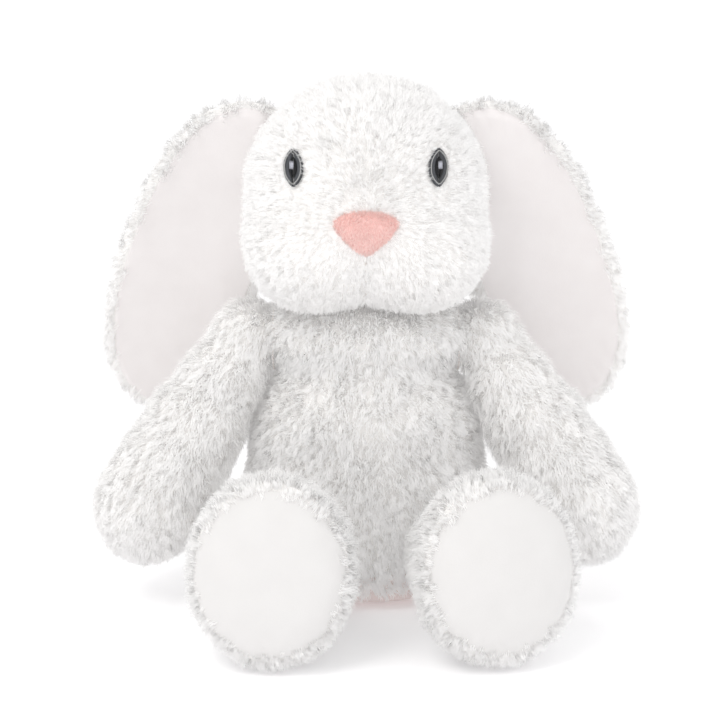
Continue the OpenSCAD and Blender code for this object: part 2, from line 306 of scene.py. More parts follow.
def thread_finish(name, colour, dark):
    """Embroidery thread: a satin gloss, and strands that twist along it, with painted shade in the grooves
    between them.
    """
    material, graph, shader = new_finish(name, 0.42, sheen=0.1)
    place = own_place(graph)
    strands = graph.add("ShaderNodeTexWave", {"bands_direction": "DIAGONAL"}, {
        "Vector": place, "Scale": 1500.0, "Distortion": 2.0})
    strand_share = Wire(graph, strands.socket.node.outputs["Fac"])
    # Painted shade: the dark colour lies in the grooves between the twisted strands.
    graph.feed(shader.inputs["Base Color"], graph.mixed(strand_share, dark, colour))
    bump(graph, shader, strand_share, 0.06 * MM)
    return material


def fibre_finish(name, light, dark, size):
    """Loose filling: matt, with tangled streaks."""
    material, graph, shader = new_finish(name, 0.95)
    tangle = graph.noise(own_place(graph), size, 5.0, 0.7)
    graph.feed(shader.inputs["Base Color"], graph.mixed(tangle, dark, light))
    bump(graph, shader, tangle, size / 4)
    return material


def bean_finish(name, light, dark):
    """Plastic pellets in a bag: rounded grains, with painted shade darkening the gaps between them."""
    material, graph, shader = new_finish(name, 0.4)
    cells = graph.add("ShaderNodeTexVoronoi", {}, {"Vector": own_place(graph), "Scale": 300.0})
    # Painted shade: the colour darkens from each grain's middle towards the gaps.
    graph.feed(shader.inputs["Base Color"], graph.mixed(cells.clamped(), light, dark))
    bump(graph, shader, 1 - cells, 1.5 * MM)
    return material


# The first colour of each pile is its root colour, darkened as painted shade among the hairs.
plush = pile_finish("plush_pile", (0.955, 0.945, 0.935), (0.985, 0.982, 0.98), (0.95, 0.945, 0.94))
plush_knit = cloth_finish("plush_knit", (0.88, 0.87, 0.86), (0.80, 0.785, 0.77), 0.8 * MM, 0.15 * MM)
sole_cloth = cloth_finish("sole_velboa", (0.74, 0.73, 0.722), (0.68, 0.668, 0.66), 0.7 * MM, 0.10 * MM)
# The seat velboa is a real short-pile panel; its darker, pinker colour is painted shade under the belly.
seat_cloth_painted_shade = cloth_finish("seat_velboa_painted_shade", (0.86, 0.77, 0.75), (0.78, 0.68, 0.66), 0.7 * MM, 0.10 * MM)
ear_cloth = cloth_finish("ear_velboa", (0.84, 0.815, 0.81), (0.77, 0.735, 0.73), 0.7 * MM, 0.10 * MM)
nose_cloth = cloth_finish("nose_velboa", (0.89, 0.66, 0.63), (0.82, 0.55, 0.52), 0.7 * MM, 0.12 * MM)
nose_pile = pile_finish("nose_pile", (0.93, 0.70, 0.66), (0.97, 0.82, 0.79), (0.93, 0.71, 0.68))
thread_pale = thread_finish("pale_thread", (0.50, 0.50, 0.49), (0.32, 0.32, 0.32))
thread_grey = thread_finish("grey_thread", (0.13, 0.137, 0.15), (0.06, 0.063, 0.07))
thread_dark = thread_finish("dark_thread", (0.014, 0.015, 0.017), (0.006, 0.006, 0.007))
thread_white = thread_finish("white_thread", (0.74, 0.75, 0.82), (0.55, 0.56, 0.64))
seam_thread = thread_finish("seam_thread", (0.88, 0.84, 0.81), (0.70, 0.65, 0.62))
filling = fibre_finish("filling_fibre", (0.92, 0.92, 0.92), (0.78, 0.78, 0.78), 3 * MM)
pouch_cotton = cloth_finish("pouch_cotton", (0.82, 0.79, 0.73), (0.72, 0.69, 0.63), 0.6 * MM, 0.1 * MM)
beans = bean_finish("bean_pellets", (0.78, 0.80, 0.82), (0.30, 0.31, 0.33))

PAPER_GLOW = 0.16
floor_paper, floor_graph, floor_shader = new_finish("floor_paper", 0.9)
paper_grain = floor_graph.noise(own_place(floor_graph), 30 * MM)
floor_graph.feed(floor_shader.inputs["Base Color"],
                 floor_graph.mixed(paper_grain, (0.93, 0.925, 0.94), (0.95, 0.948, 0.955)))
floor_shader.inputs["Emission Color"].default_value = (1, 1, 1, 1)
floor_shader.inputs["Emission Strength"].default_value = PAPER_GLOW
floor_bm = bmesh.new()
bmesh.ops.create_grid(floor_bm, x_segments=2, y_segments=2, size=12.0)
floor = put_in_scene("floor", bpy.data.meshes.new("floor"))
floor_bm.to_mesh(floor.data)
floor_bm.free()
floor.data.materials.append(floor_paper)
print("finishes made:", len(bpy.data.materials))

# %% [markdown]
# ## How a stuffed skin is made
#
# A stuffed part is a closed bag of cloth pushed out from inside. It could be sculpted point by
# point, but it is quicker and rounder to lay egg-shaped lobes where the filling bulges, melt them
# into one skin with a voxel remesh, smooth the joins, and let a short cloth simulation blow the
# bag up, with a cap on how far each point may move so that the size stays true. The knitted
# backing of the plush lies below the line of the half-pressed pile that the frame draws.

# %% Skins
BACKING_DEPTH = 3 * MM
SIM_FRAMES = 20


def middle(node):
    low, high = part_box(node)
    return (low + high) / 2


def as_applied(obj):
    """The object's mesh becomes what its modifiers make of it."""
    depsgraph = bpy.context.evaluated_depsgraph_get()
    mesh = bpy.data.meshes.new_from_object(obj.evaluated_get(depsgraph), depsgraph=depsgraph)
    obj.modifiers.clear()
    obj.data = mesh


def puffed(obj, cap, pressure=4.0):
    """A short cloth simulation, pushed from inside, in which no point moves further than cap."""
    before = [v.co.copy() for v in obj.data.vertices]
    cloth = obj.modifiers.new("puff", "CLOTH")
    cloth.settings.use_pressure = True
    cloth.settings.uniform_pressure_force = pressure
    cloth.settings.effector_weights.gravity = 0
    for step in range(1, SIM_FRAMES + 1):
        scene.frame_set(step)
    as_applied(obj)
    scene.frame_set(1)
    for vertex, old in zip(obj.data.vertices, before):
        move = vertex.co - old
        if move.length > cap:
            vertex.co = old + move.normalized() * cap


def melted(name, bm, voxel, smoothing, cap):
    """One closed skin from the lobes in bm."""
    skin = put_in_scene(name, bpy.data.meshes.new(name))
    bm.to_mesh(skin.data)
    bm.free()
    remesh = skin.modifiers.new("melt", "REMESH")
    remesh.mode = "VOXEL"
    remesh.voxel_size = voxel
    soften = skin.modifiers.new("soften", "SMOOTH")
    soften.factor = 0.5
    soften.iterations = smoothing
    as_applied(skin)
    puffed(skin, cap)
    finer = skin.modifiers.new("finer", "SUBSURF")
    finer.levels = finer.render_levels = 1
    as_applied(skin)
    skin.data.shade_smooth()
    return skin


def egg(bm, centre, semi, turn=Matrix.Identity(4)):
    """A lobe of filling with three half-sizes, inside its own cloth and half its pile."""
    sizes = Vector(semi) - Vector((1, 1, 1)) * BACKING_DEPTH
    bmesh.ops.create_uvsphere(
        bm, u_segments=48, v_segments=32, radius=1.0,
        matrix=Matrix.Translation(centre) @ turn @ Matrix.Diagonal((*sizes, 1)))


def reshaped(skin, rule):
    """Every point goes where rule(point, normal) says."""
    moved = [rule(v.co.copy(), v.normal.copy()) for v in skin.data.vertices]
    for vertex, place in zip(skin.data.vertices, moved):
        vertex.co = place
    skin.data.update()


def surface_tree(obj):
    bm = bmesh.new()
    bm.from_mesh(obj.data)
    tree = BVHTree.FromBMesh(bm)
    bm.free()
    return tree


def depth_below(tree, point):
    """How far a point lies inside a closed skin; negative outside."""
    spot, normal, _, _ = tree.find_nearest(point)
    return -(point - spot).dot(normal)


def ramp(value, low, high):
    """0 below low, 1 above high, and a smooth rise between."""
    share = min(1.0, max(0.0, (value - low) / (high - low)))
    return share * share * (3 - 2 * share)


# %% [markdown]
# ## How the pile is made
#
# Real plush has hundreds of fine hairs per square centimetre, which cling together in wisps. One
# wisp is modelled as a tuft of a few tapered, bent blades, each only three triangles. Geometry Nodes
# scatter it over a skin: the tufts stand along the skin's normal, lean the way the cloth was
# combed, and swirl a little with the noise that makes locks. A hair system would be the usual
# choice for a still view, but only real faces stay with the model when it leaves Blender.
#
# Each blade also takes most of its shading normal from the skin below, because a mass of hair
# catches light as the form under it does.

# %% One tuft of pile, in three versions
BLADES_IN_TUFT = 8
BLADE_WIDTH = 0.56 * MM
PILE_LENGTH = 6.2 * MM
TUFT_SPREAD = 2.0 * MM


def add_blade(bm, along_layer, dice):
    made = bmesh.ops.create_grid(bm, x_segments=1, y_segments=2, size=0.5)["verts"]
    tip_end = [v for v in made if v.co.y > 0.4]
    bmesh.ops.pointmerge(bm, verts=tip_end, merge_co=Vector((0, 0.5, 0)))
    root = Vector((dice.gauss(0, 1), dice.gauss(0, 1), 0)) * TUFT_SPREAD * 0.6
    tip = root * 0.55 + Vector((dice.gauss(0, 0.9), dice.gauss(0, 0.9), 0)) * MM
    tip.z = PILE_LENGTH * dice.uniform(0.75, 1.1)
    bow = Vector((dice.uniform(0.4, 1.3), dice.uniform(-0.7, 0.7), 0)) * MM
    for vertex in [v for v in made if v.is_valid]:
        across, along = vertex.co.x, vertex.co.y + 0.5
        width = BLADE_WIDTH * (1 - 0.35 * along)
        arch = bow * 4 * along * (1 - along)
        vertex.co = root.lerp(tip, along) + arch + Vector((0, across * width, 0))
        vertex[along_layer] = along


def make_tuft(seed, group):
    dice = random.Random(seed)
    bm = bmesh.new()
    along_layer = bm.verts.layers.float.new("along")
    for _ in range(BLADES_IN_TUFT):
        add_blade(bm, along_layer, dice)
    tuft = bpy.data.objects.new(f"tuft_{seed}", bpy.data.meshes.new(f"tuft_{seed}"))
    bm.to_mesh(tuft.data)
    bm.free()
    group.objects.link(tuft)


tufts = bpy.data.collections.new("tufts")
for tuft_seed in range(3):
    make_tuft(tuft_seed, tufts)

# %% [markdown]
# Plush has a nap: the pile leans one way because the cloth was woven and brushed so. Each skin says
# at every point which way its pile leans, how long it is, and where none grows, as under a sole.

# %% Combing: what each point of a skin tells the pile
def combed(skin, direction, length, cover):
    """Stores on each point the way its pile leans, how long it is, and how densely it grows."""
    mesh = skin.data
    facts = {
        "out": ("FLOAT_VECTOR", []), "comb": ("FLOAT_VECTOR", []),
        "pile": ("FLOAT", []), "cover": ("FLOAT", []),
    }
    for vertex in mesh.vertices:
        point, normal = vertex.co, vertex.normal
        lean = Vector(direction(point, normal))
        lean -= normal * lean.dot(normal)
        facts["out"][1].extend(normal)
        facts["comb"][1].extend(lean)
        facts["pile"][1].append(length(point, normal))
        facts["cover"][1].append(cover(point, normal))
    for key, (kind, values) in facts.items():
        layer = mesh.attributes.new(key, kind, "POINT")
        layer.data.foreach_set("vector" if kind == "FLOAT_VECTOR" else "value", values)


# %% [markdown]
# The scatter puts a tuft on each random point of the skin, turns it, sizes it and writes down the
# two numbers that its colour needs. Locks come from noise that neighbouring tufts share.

# %% The scatter itself
LIFT = 1.0       # how upright the pile stands
LOCK_SIZE = 8.5 * MM
LOCK_SWIRL = 1.1
LOOSE = 0.20


def named(graph, key, kind):
    return graph.add("GeometryNodeInputNamedAttribute", {"data_type": kind}, {"Name": key})


def random_value(graph, low, high, seed, kind="FLOAT"):
    node = graph.tree.nodes.new("FunctionNodeRandomValue")
    node.data_type = kind
    sockets = [s for s in node.inputs if s.enabled and s.name in ("Min", "Max")]
    for socket, value in zip(sockets, (low, high)):
        socket.default_value = value
    node.inputs["Seed"].default_value = seed
    return Wire(graph, next(s for s in node.outputs if s.enabled))


def pile_tree(name, density, size, seed, finish):
    tree = bpy.data.node_groups.new(name, "GeometryNodeTree")
    tree.interface.new_socket("Geometry", in_out="INPUT", socket_type="NodeSocketGeometry")
    tree.interface.new_socket("Geometry", in_out="OUTPUT", socket_type="NodeSocketGeometry")
    graph = Graph(tree)
    skin = graph.add("NodeGroupInput", {}, {})
    out = named(graph, "out", "FLOAT_VECTOR")
    comb = named(graph, "comb", "FLOAT_VECTOR")
    points = graph.add("GeometryNodeDistributePointsOnFaces", {}, {
        "Mesh": skin, "Density": named(graph, "cover", "FLOAT") * density, "Seed": seed})
    place = graph.add("GeometryNodeInputPosition", {}, {})
    locks = graph.noise(place, LOCK_SIZE, 1.0, output="Color")
    locks = graph.vector("SUBTRACT", locks, (0.5, 0.5, 0.5))
    loose = random_value(graph, (-1, -1, -1), (1, 1, 1), seed + 1, "FLOAT_VECTOR")
    way = graph.vector("ADD", graph.scaled(out, LIFT), comb)
    way = graph.vector("ADD", way, graph.scaled(locks, LOCK_SWIRL))
    way = graph.vector("ADD", way, graph.scaled(loose, LOOSE))
    turn = graph.add("FunctionNodeAlignRotationToVector", {"axis": "Z"}, {"Vector": way})
    turn = graph.add("FunctionNodeAlignRotationToVector", {"axis": "X", "pivot_axis": "Z"}, {
        "Rotation": turn, "Vector": out})
    twist = graph.add("FunctionNodeAxisAngleToRotation", {}, {
        "Axis": (0, 0, 1), "Angle": random_value(graph, -0.5, 0.5, seed + 2)})
    turn = graph.add("FunctionNodeRotateRotation", {"rotation_space": "LOCAL"}, {
        "Rotation": turn, "Rotate By": twist})
    wave = graph.noise(place, 2.2 * LOCK_SIZE, 2.0)
    length = named(graph, "pile", "FLOAT") * random_value(graph, 0.8, 1.12, seed + 3) * size
    length = length * (0.7 + wave * 0.6)
    tone = (wave * 1.6 - 0.5 + random_value(graph, -0.2, 0.3, seed + 4)).clamped()
    points = graph.add("GeometryNodeStoreNamedAttribute", {"data_type": "FLOAT"}, {
        "Geometry": points, "Name": "tone", "Value": tone})
    kinds = graph.add("GeometryNodeCollectionInfo", {}, {
        "Collection": tufts, "Separate Children": True, "Reset Children": True})
    pick = random_value(graph, 0, len(tufts.objects) - 1, seed + 5, "INT")
    pile = graph.add("GeometryNodeInstanceOnPoints", {}, {
        "Points": points, "Instance": kinds, "Pick Instance": True, "Instance Index": pick,
        "Rotation": turn, "Scale": length})
    pile = graph.add("GeometryNodeRealizeInstances", {}, {"Geometry": pile})
    spot = graph.add("GeometryNodeInputPosition", {}, {})
    pressed = graph.vector("MAXIMUM", spot, (-10, -10, 0.3 * MM))
    pile = graph.add("GeometryNodeSetPosition", {}, {"Geometry": pile, "Position": pressed})
    pair = graph.add("ShaderNodeCombineXYZ", {}, {
        "X": named(graph, "tone", "FLOAT"), "Y": named(graph, "along", "FLOAT")})
    pile = graph.add("GeometryNodeStoreNamedAttribute", {"data_type": "FLOAT2", "domain": "CORNER"}, {
        "Geometry": pile, "Name": "OFBake", "Value": pair})
    own = graph.add("GeometryNodeInputNormal", {}, {})
    soft = graph.vector("ADD", graph.scaled(out, 1.0), graph.scaled(own, 0.45))
    soft = graph.vector("NORMALIZE", soft)
    pile = graph.add("GeometryNodeSetMeshNormal", {"mode": "FREE", "domain": "CORNER"}, {
        "Mesh": pile, "Custom Normal": soft})
    pile = graph.add("GeometryNodeSetMaterial", {}, {"Geometry": pile, "Material": finish})
    exit_node = tree.nodes.new("NodeGroupOutput")
    graph.feed(exit_node.inputs[0], pile)
    return tree


TUFTS_PER_SQUARE_M = 0.248 / (MM * MM)


def grow_pile(skin, name, body, pieces=1, seed=0, density=1.0, size=1.0, finish=plush):
    """Pile over a combed skin, in several pieces so that none has too many faces."""
    total = 0
    for count in range(pieces):
        piece_name = f"{name}_{count + 1}" if pieces > 1 else name
        piece = put_in_scene(piece_name, skin.data.copy())
        piece.data.name = piece_name
        scatter = piece.modifiers.new("pile", "NODES")
        scatter.node_group = pile_tree(
            piece_name, TUFTS_PER_SQUARE_M * density / pieces, size, seed + 10 * count, finish)
        as_applied(piece)
        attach(piece, body)
        triangles = sum(len(p.vertices) - 2 for p in piece.data.polygons)
        total += triangles
        print("  ", piece_name, triangles, "triangles")
    return total


def finished_skin(skin, finish, body, nodes):
    """A padded piece that stands for its frame nodes."""
    skin.data.materials.clear()
    skin.data.materials.append(finish)
    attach(skin, body)
    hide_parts(*nodes)


# %% [markdown]
# ## Patches of short-pile cloth
#
# The soles, the nose, the ear linings and the seat panel are flat cloth shapes sewn into or onto the
# plush. A patch starts as a ball: its upper half becomes the outer face and its lower half the
# inner one, so it is closed by itself. Each point is carried to the patch's outline and dropped
# along one direction onto the skin below, and the edge stays low while the middle swells.

# %% Patches
def patch(name, tree, frame_at, outline, swell, rim, rings=24, around=96, wrinkle=None, reach=60 * MM):
    """frame_at is a matrix whose Z looks away from the skin; outline(angle) gives x and y."""
    bm = bmesh.new()
    bmesh.ops.create_uvsphere(bm, u_segments=around, v_segments=rings, radius=1.0)
    drop = -(frame_at.to_3x3() @ UP).normalized()
    for vertex in bm.verts:
        out_share = math.hypot(vertex.co.x, vertex.co.y)
        angle = math.atan2(vertex.co.y, vertex.co.x)
        x, y = outline(angle)
        start = frame_at @ Vector((x * out_share, y * out_share, reach))
        spot, normal, _, _ = tree.ray_cast(start, drop)
        if spot is None:
            spot, normal, _, _ = tree.find_nearest(frame_at @ Vector((x * out_share, y * out_share, 0)))
        height = rim + (swell - rim) * (1 - out_share ** 3)
        if wrinkle:
            height += wrinkle(out_share, angle)
        vertex.co = spot + normal * (height * max(0.0, vertex.co.z) ** 0.5 - 0.4 * MM * (vertex.co.z < 0))
    bmesh.ops.recalc_face_normals(bm, faces=bm.faces)
    piece = put_in_scene(name, bpy.data.meshes.new(name))
    bm.to_mesh(piece.data)
    bm.free()
    piece.data.shade_smooth()
    return piece


def ellipse(half_width, half_height):
    return lambda angle: (half_width * math.cos(angle), half_height * math.sin(angle))


# %% [markdown]
# Thread is modelled stitch by stitch. One long tube would be simpler, but sewn and embroidered lines
# show where the needle went in, and single beads of thread give that for very few faces.

# %% Stitches
def add_stitch(bm, start, end, width, height, up):
    """One stitch of thread: a slim bead that lies from start to end."""
    along = end - start
    side = up.cross(along).normalized()
    top = along.cross(side).normalized()
    axes = Matrix((along.normalized(), side, top)).transposed().to_4x4()
    sizes = Matrix.Diagonal((along.length / 2 + width * 0.2, width / 2, height / 2, 1))
    bmesh.ops.create_icosphere(
        bm, subdivisions=1, radius=1.0, matrix=Matrix.Translation((start + end) / 2) @ axes @ sizes)


def thread_piece(name, bm, finish, body, nodes):
    bmesh.ops.recalc_face_normals(bm, faces=bm.faces)
    piece = put_in_scene(name, bpy.data.meshes.new(name))
    bm.to_mesh(piece.data)
    bm.free()
    piece.data.shade_smooth()
    piece.data.materials.append(finish)
    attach(piece, body)
    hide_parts(*nodes)
    return piece


# %% [markdown]
# ## The head
#
# The head is a round skull with two full cheeks that meet in a shallow crease under the nose, and
# a chin that sits right down on the shoulders. The skull and cheeks are lobes; the crease is
# pressed in afterwards, because the remesh would melt anything so narrow.

# %% The head's skin
head_lo, head_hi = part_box("head_shell")
cheek_half = (head_hi.x - head_lo.x) / 2
skull_semi = Vector((64, 58, 62)) * MM
skull = Vector((0, head_hi.y - skull_semi.y, head_hi.z - skull_semi.z))
chin_z = head_lo.z
nose_lo, nose_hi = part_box("nose_patch")
nose_at = (nose_lo + nose_hi) / 2

head_bm = bmesh.new()
egg(head_bm, skull, skull_semi)
egg(head_bm, (0, skull.y - 12.8 * MM, chin_z + 38 * MM), (cheek_half, 52.5 * MM, 38.5 * MM))
for side in SIDES.values():
    egg(head_bm, (side * 25 * MM, skull.y - 25 * MM, chin_z + 31 * MM), (38 * MM, 40 * MM, 32 * MM))
egg(head_bm, (0, skull.y - 38 * MM, nose_at.z - 2 * MM), (29 * MM, 31 * MM, 22 * MM))
head_skin = melted("head_skin", head_bm, 4.5 * MM, 8, 2.5 * MM)


def with_crease(point, normal):
    """The centre seam of the muzzle pulls the skin in from the nose to below the chin."""
    front = ramp(-point.y, 15 * MM, 40 * MM) * ramp(nose_lo.z + 2 * MM - point.z, 0, 8 * MM)
    near = math.exp(-(point.x / (5 * MM)) ** 2)
    return point - normal * 1.2 * MM * near * front


reshaped(head_skin, with_crease)
head_tree = surface_tree(head_skin)
print("head skin points:", len(head_skin.data.vertices))

# %% [markdown]
# The pile is shorter on the face than on the crown, is trimmed close round the eyes, and stops where
# the nose patch and the embroidery begin. It is combed away from the nose.

# %% The head's pile
eye_boxes = {side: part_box(f"{side}_eye_outline") for side in SIDES}
eye_w = eye_boxes["left"][1].x - eye_boxes["left"][0].x
eye_h = eye_boxes["left"][1].z - eye_boxes["left"][0].z


def eye_distance(point):
    """1 at the rim of the nearer eye, less inside it."""
    if point.y > 0:
        return 9.0
    gaps = []
    for low, high in eye_boxes.values():
        centre = (low + high) / 2
        gaps.append(math.hypot((point.x - centre.x) / (eye_w / 2), (point.z - centre.z) / (eye_h / 2)))
    return min(gaps)


def nose_outline(angle):
    """A rounded triangle: two corners above, the tip below."""
    half_width = (nose_hi.x - nose_lo.x) / 2
    half_height = (nose_hi.z - nose_lo.z) / 2
    x, z = math.cos(angle), math.sin(angle)
    narrowing = 1 - 0.5 * ramp(-z, -0.45, 1.0)
    square = 1 + 0.22 * abs(math.sin(2 * angle)) * (z > 0)
    return half_width * x * narrowing * square, half_height * z * (1 + 0.12 * (z > 0) * abs(x))


def nose_share(point):
    """Below 1 inside the nose patch."""
    if point.y > nose_hi.y:
        return 9.0
    x, z = point.x - nose_at.x, point.z - nose_at.z
    edge = Vector(nose_outline(math.atan2(z, x)))
    return math.hypot(x, z) / max(edge.length, 0.1 * MM)


def head_comb(point, normal):
    away = point - Vector((0, nose_at.y, nose_at.z + 6 * MM))
    away.normalize()
    return away * 0.75 + Vector((0, 0.1, -0.35))


def head_pile(point, normal):
    face = 1 - ramp((point - nose_at).length, 22 * MM, 75 * MM)
    near_eye = 1 - ramp(eye_distance(point), 1.0, 2.2)
    near_nose = 1 - ramp(nose_share(point), 1.0, 2.0)
    return max(0.45, 1 - 0.32 * face - 0.35 * near_eye - 0.2 * near_nose)


def head_cover(point, normal):
    return ramp(eye_distance(point), 0.82, 1.0) * ramp(nose_share(point), 0.8, 0.95)


combed(head_skin, head_comb, head_pile, head_cover)
grow_pile(head_skin, "head_pile", "head", pieces=3, seed=100, density=1.15)
finished_skin(head_skin, plush_knit, "head", ["head_shell"])

# %% [markdown]
# ## Nose
#
# The nose is a small piece of pink velboa with a little filling under it. It is a patch with its
# own very short pile, dense enough to look like cloth and not like hair.

# %% The nose patch and its nap
def facing_front(centre):
    """A frame at centre whose Z looks forward, X to the right and Y up."""
    return Matrix.Translation(centre) @ Matrix.Rotation(math.radians(90), 4, "X")


nose = patch("nose", head_tree, facing_front(Vector((nose_at.x, -20 * MM, nose_at.z))),
             nose_outline, 4.4 * MM, 2.6 * MM, rings=28, around=72, reach=80 * MM)
combed(nose, lambda p, n: (0, -0.1, -0.7), lambda p, n: 1.0,
       lambda p, n: 1.0 if n.y < 0.1 else 0.0)
grow_pile(nose, "nose_nap", "head", seed=150, density=9.0, size=0.24, finish=nose_pile)
finished_skin(nose, nose_cloth, "head", ["nose_patch"])

# %% [markdown]
# ## Eyes
#
# Embroidered eyes are rows of satin stitch: grey threads across the whole almond, a pale thread
# round it just inside the rim, a dark pupil, and an upright pale glint. Each thread is a slim bead
# laid on the head's skin, and the later layers lie on the earlier ones.

# %% Embroidery
EYE_LIFT = 1.6 * MM
THREAD = 0.55 * MM


def on_head(x, z, lift):
    spot, normal, _, _ = head_tree.ray_cast(Vector((x, -200 * MM, z)), Vector((0, 1, 0)))
    return spot + normal * lift, normal


def almond_half_width(share, half_width):
    """Half the almond's width at a height from -1, its lower point, to 1."""
    return half_width * (1 - abs(share) ** 2.3) ** 0.85


def satin(bm, centre, half_width, half_height, lift, slant=0.0):
    rows = int(2 * half_height / (THREAD * 0.8))
    for row in range(1, rows):
        share = 2 * row / rows - 1
        reach = almond_half_width(share, half_width)
        z = centre.z + share * half_height
        ends = [on_head(centre.x + k * reach, z + k * slant, lift) for k in (-1, 0, 1)]
        for first, second in zip(ends, ends[1:]):
            add_stitch(bm, first[0], second[0], THREAD, THREAD, first[1])


def make_eye(side_name):
    low, high = eye_boxes[side_name]
    centre = (low + high) / 2
    half_w, half_h = eye_w / 2, eye_h / 2
    iris = bmesh.new()
    satin(iris, centre, half_w, half_h, EYE_LIFT)
    satin(iris, centre, half_w * 0.98, half_h * 0.98, EYE_LIFT - 0.5 * MM)
    thread_piece(f"{side_name}_eye_grey", iris, thread_grey, "head",
                 [f"{side_name}_eye_iris"])
    loop = bmesh.new()
    steps = 30
    for way in (-1, 1):
        path = []
        for step in range(steps + 1):
            share = 2 * step / steps - 1
            reach = almond_half_width(share, half_w * 0.74)
            path.append(on_head(centre.x + way * reach, centre.z + share * half_h * 0.84,
                                EYE_LIFT + 0.4 * MM))
        for first, second in zip(path, path[1:]):
            add_stitch(loop, first[0], second[0], 0.75 * MM, 0.7 * MM, first[1])
    thread_piece(f"{side_name}_eye_loop", loop, thread_pale, "head",
                 [f"{side_name}_eye_outline"])
    pupil = bmesh.new()
    satin(pupil, centre, half_w * 0.42, half_h * 0.55, EYE_LIFT + 0.35 * MM)
    thread_piece(f"{side_name}_eye_dark", pupil, thread_dark, "head",
                 [f"{side_name}_eye_pupil"])
    glint_lo, glint_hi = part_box(f"{side_name}_eye_highlight")
    glint = bmesh.new()
    for share in (0.1, 0.5, 0.9):
        x = glint_lo.x + share * (glint_hi.x - glint_lo.x)
        low_end, normal = on_head(x, glint_lo.z, EYE_LIFT + 0.75 * MM)
        high_end, normal = on_head(x, glint_hi.z, EYE_LIFT + 0.75 * MM)
        add_stitch(glint, low_end, high_end, THREAD * 1.2, THREAD, normal)
    thread_piece(f"{side_name}_eye_glint", glint, thread_white, "head",
                 [f"{side_name}_eye_highlight"])


for side_name in SIDES:
    make_eye(side_name)

# %% [markdown]
# Below the nose the two cheek panels meet in one seam, which is mostly buried in the pile.

# %% The muzzle's seam
seam_lo, seam_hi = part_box("muzzle_seam")
seam = bmesh.new()
stitch_len = 3.2 * MM
for count in range(int((seam_hi.z - seam_lo.z) / stitch_len)):
    top_z = seam_hi.z - count * stitch_len
    high_end, normal = on_head(0, top_z, 0.3 * MM)
    low_end, normal = on_head(0, top_z - stitch_len * 0.8, 0.3 * MM)
    add_stitch(seam, high_end, low_end, 0.7 * MM, 0.6 * MM, normal)
thread_piece("muzzle_stitches", seam, seam_thread, "head", ["muzzle_seam"])

# %% [markdown]
# ## The body
#
# A pear of filling: a wide belly that sits on its flat seat panel, and a chest that rises into the
# head. The panel underneath is smooth cloth, because pile would wear and make the toy rock.

# %% The body's skin and pile
body_lo, body_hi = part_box("body_shell")
belly_half = (body_hi - body_lo) / 2
seat_lo, seat_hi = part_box("seat_panel")
belly_z = 50 * MM

body_bm = bmesh.new()
egg(body_bm, (0, 0, belly_z), (belly_half.x, belly_half.y, 92 * MM))
egg(body_bm, (0, -1 * MM, 88 * MM), (66 * MM, 51 * MM, 50 * MM))
egg(body_bm, (0, 2 * MM, 110 * MM), (52 * MM, 46 * MM, 41 * MM))
egg(body_bm, (0, -2 * MM, 142 * MM), (61 * MM, 41 * MM, 28 * MM))
egg(body_bm, (0, -6 * MM, 26 * MM), (belly_half.x * 0.84, belly_half.y * 0.9, 30 * MM))


def seated(point, normal):
    """The weight of the beans presses the underside flat."""
    floor_z = seat_hi.z + 1.5 * MM
    if point.z < floor_z + 4 * MM:
        point.z = floor_z + 4 * MM * math.exp((point.z - floor_z - 4 * MM) / (4 * MM))
    return point


body_skin = melted("body_skin", body_bm, 5 * MM, 8, 2.5 * MM)
reshaped(body_skin, seated)
body_tree = surface_tree(body_skin)


def body_cover(point, normal):
    from_neck = math.hypot(point.x, point.y)
    hidden_neck = ramp(point.z, 148 * MM, 154 * MM) * (1 - ramp(from_neck, 24 * MM, 34 * MM))
    under = 1 - ramp(point.z, 8 * MM, 11 * MM)
    return (1 - hidden_neck) * (1 - under)


combed(body_skin, lambda p, n: (p.x * 4, p.y * 3, -0.5), lambda p, n: 0.9, body_cover)
grow_pile(body_skin, "body_pile", "torso", pieces=3, seed=200, density=1.0)
finished_skin(body_skin, plush_knit, "torso", ["body_shell"])

# %% [markdown]
# The seat is a patch like the others, with gathers at its edge. The tail is one ball of plush, and
# the opening through which the body was filled is closed by hand with ladder stitches.

# %% The seat panel, the tail and the seams of the body
def seat_wrinkle(out_share, angle):
    return 0.25 * MM * math.cos(14 * angle + math.sin(3 * angle)) * ramp(out_share, 0.6, 0.95)


def facing_down(centre):
    return Matrix.Translation(centre) @ Matrix.Rotation(math.radians(180), 4, "X")


seat_half = (seat_hi - seat_lo) / 2
seat = patch("seat", body_tree, facing_down(Vector((0, 0, 0))),
             ellipse(seat_half.x * 1.08, seat_half.y * 1.1), 2.6 * MM, 1.6 * MM,
             wrinkle=seat_wrinkle, reach=20 * MM)
reshaped(seat, lambda p, n: Vector((p.x, p.y, max(p.z, 0.4 * MM))))
finished_skin(seat, seat_cloth_painted_shade, "torso", ["seat_panel"])

tail_lo, tail_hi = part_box("tail_shell")
tail_r = (tail_hi.x - tail_lo.x) / 2
tail_at = Vector((0, tail_hi.y - tail_r, (tail_lo.z + tail_hi.z) / 2))
tail_bm = bmesh.new()
egg(tail_bm, tail_at, (tail_r, tail_r, tail_r))
tail_skin = melted("tail_skin", tail_bm, 3.5 * MM, 2, 1.5 * MM)
combed(tail_skin, lambda p, n: Vector((0, 0.3, -0.3)), lambda p, n: 1.05,
       lambda p, n: ramp(p.y, tail_lo.y - 4 * MM, tail_lo.y))
grow_pile(tail_skin, "tail_pile", "torso", seed=250, density=1.1)
finished_skin(tail_skin, plush_knit, "torso", ["tail_shell"])

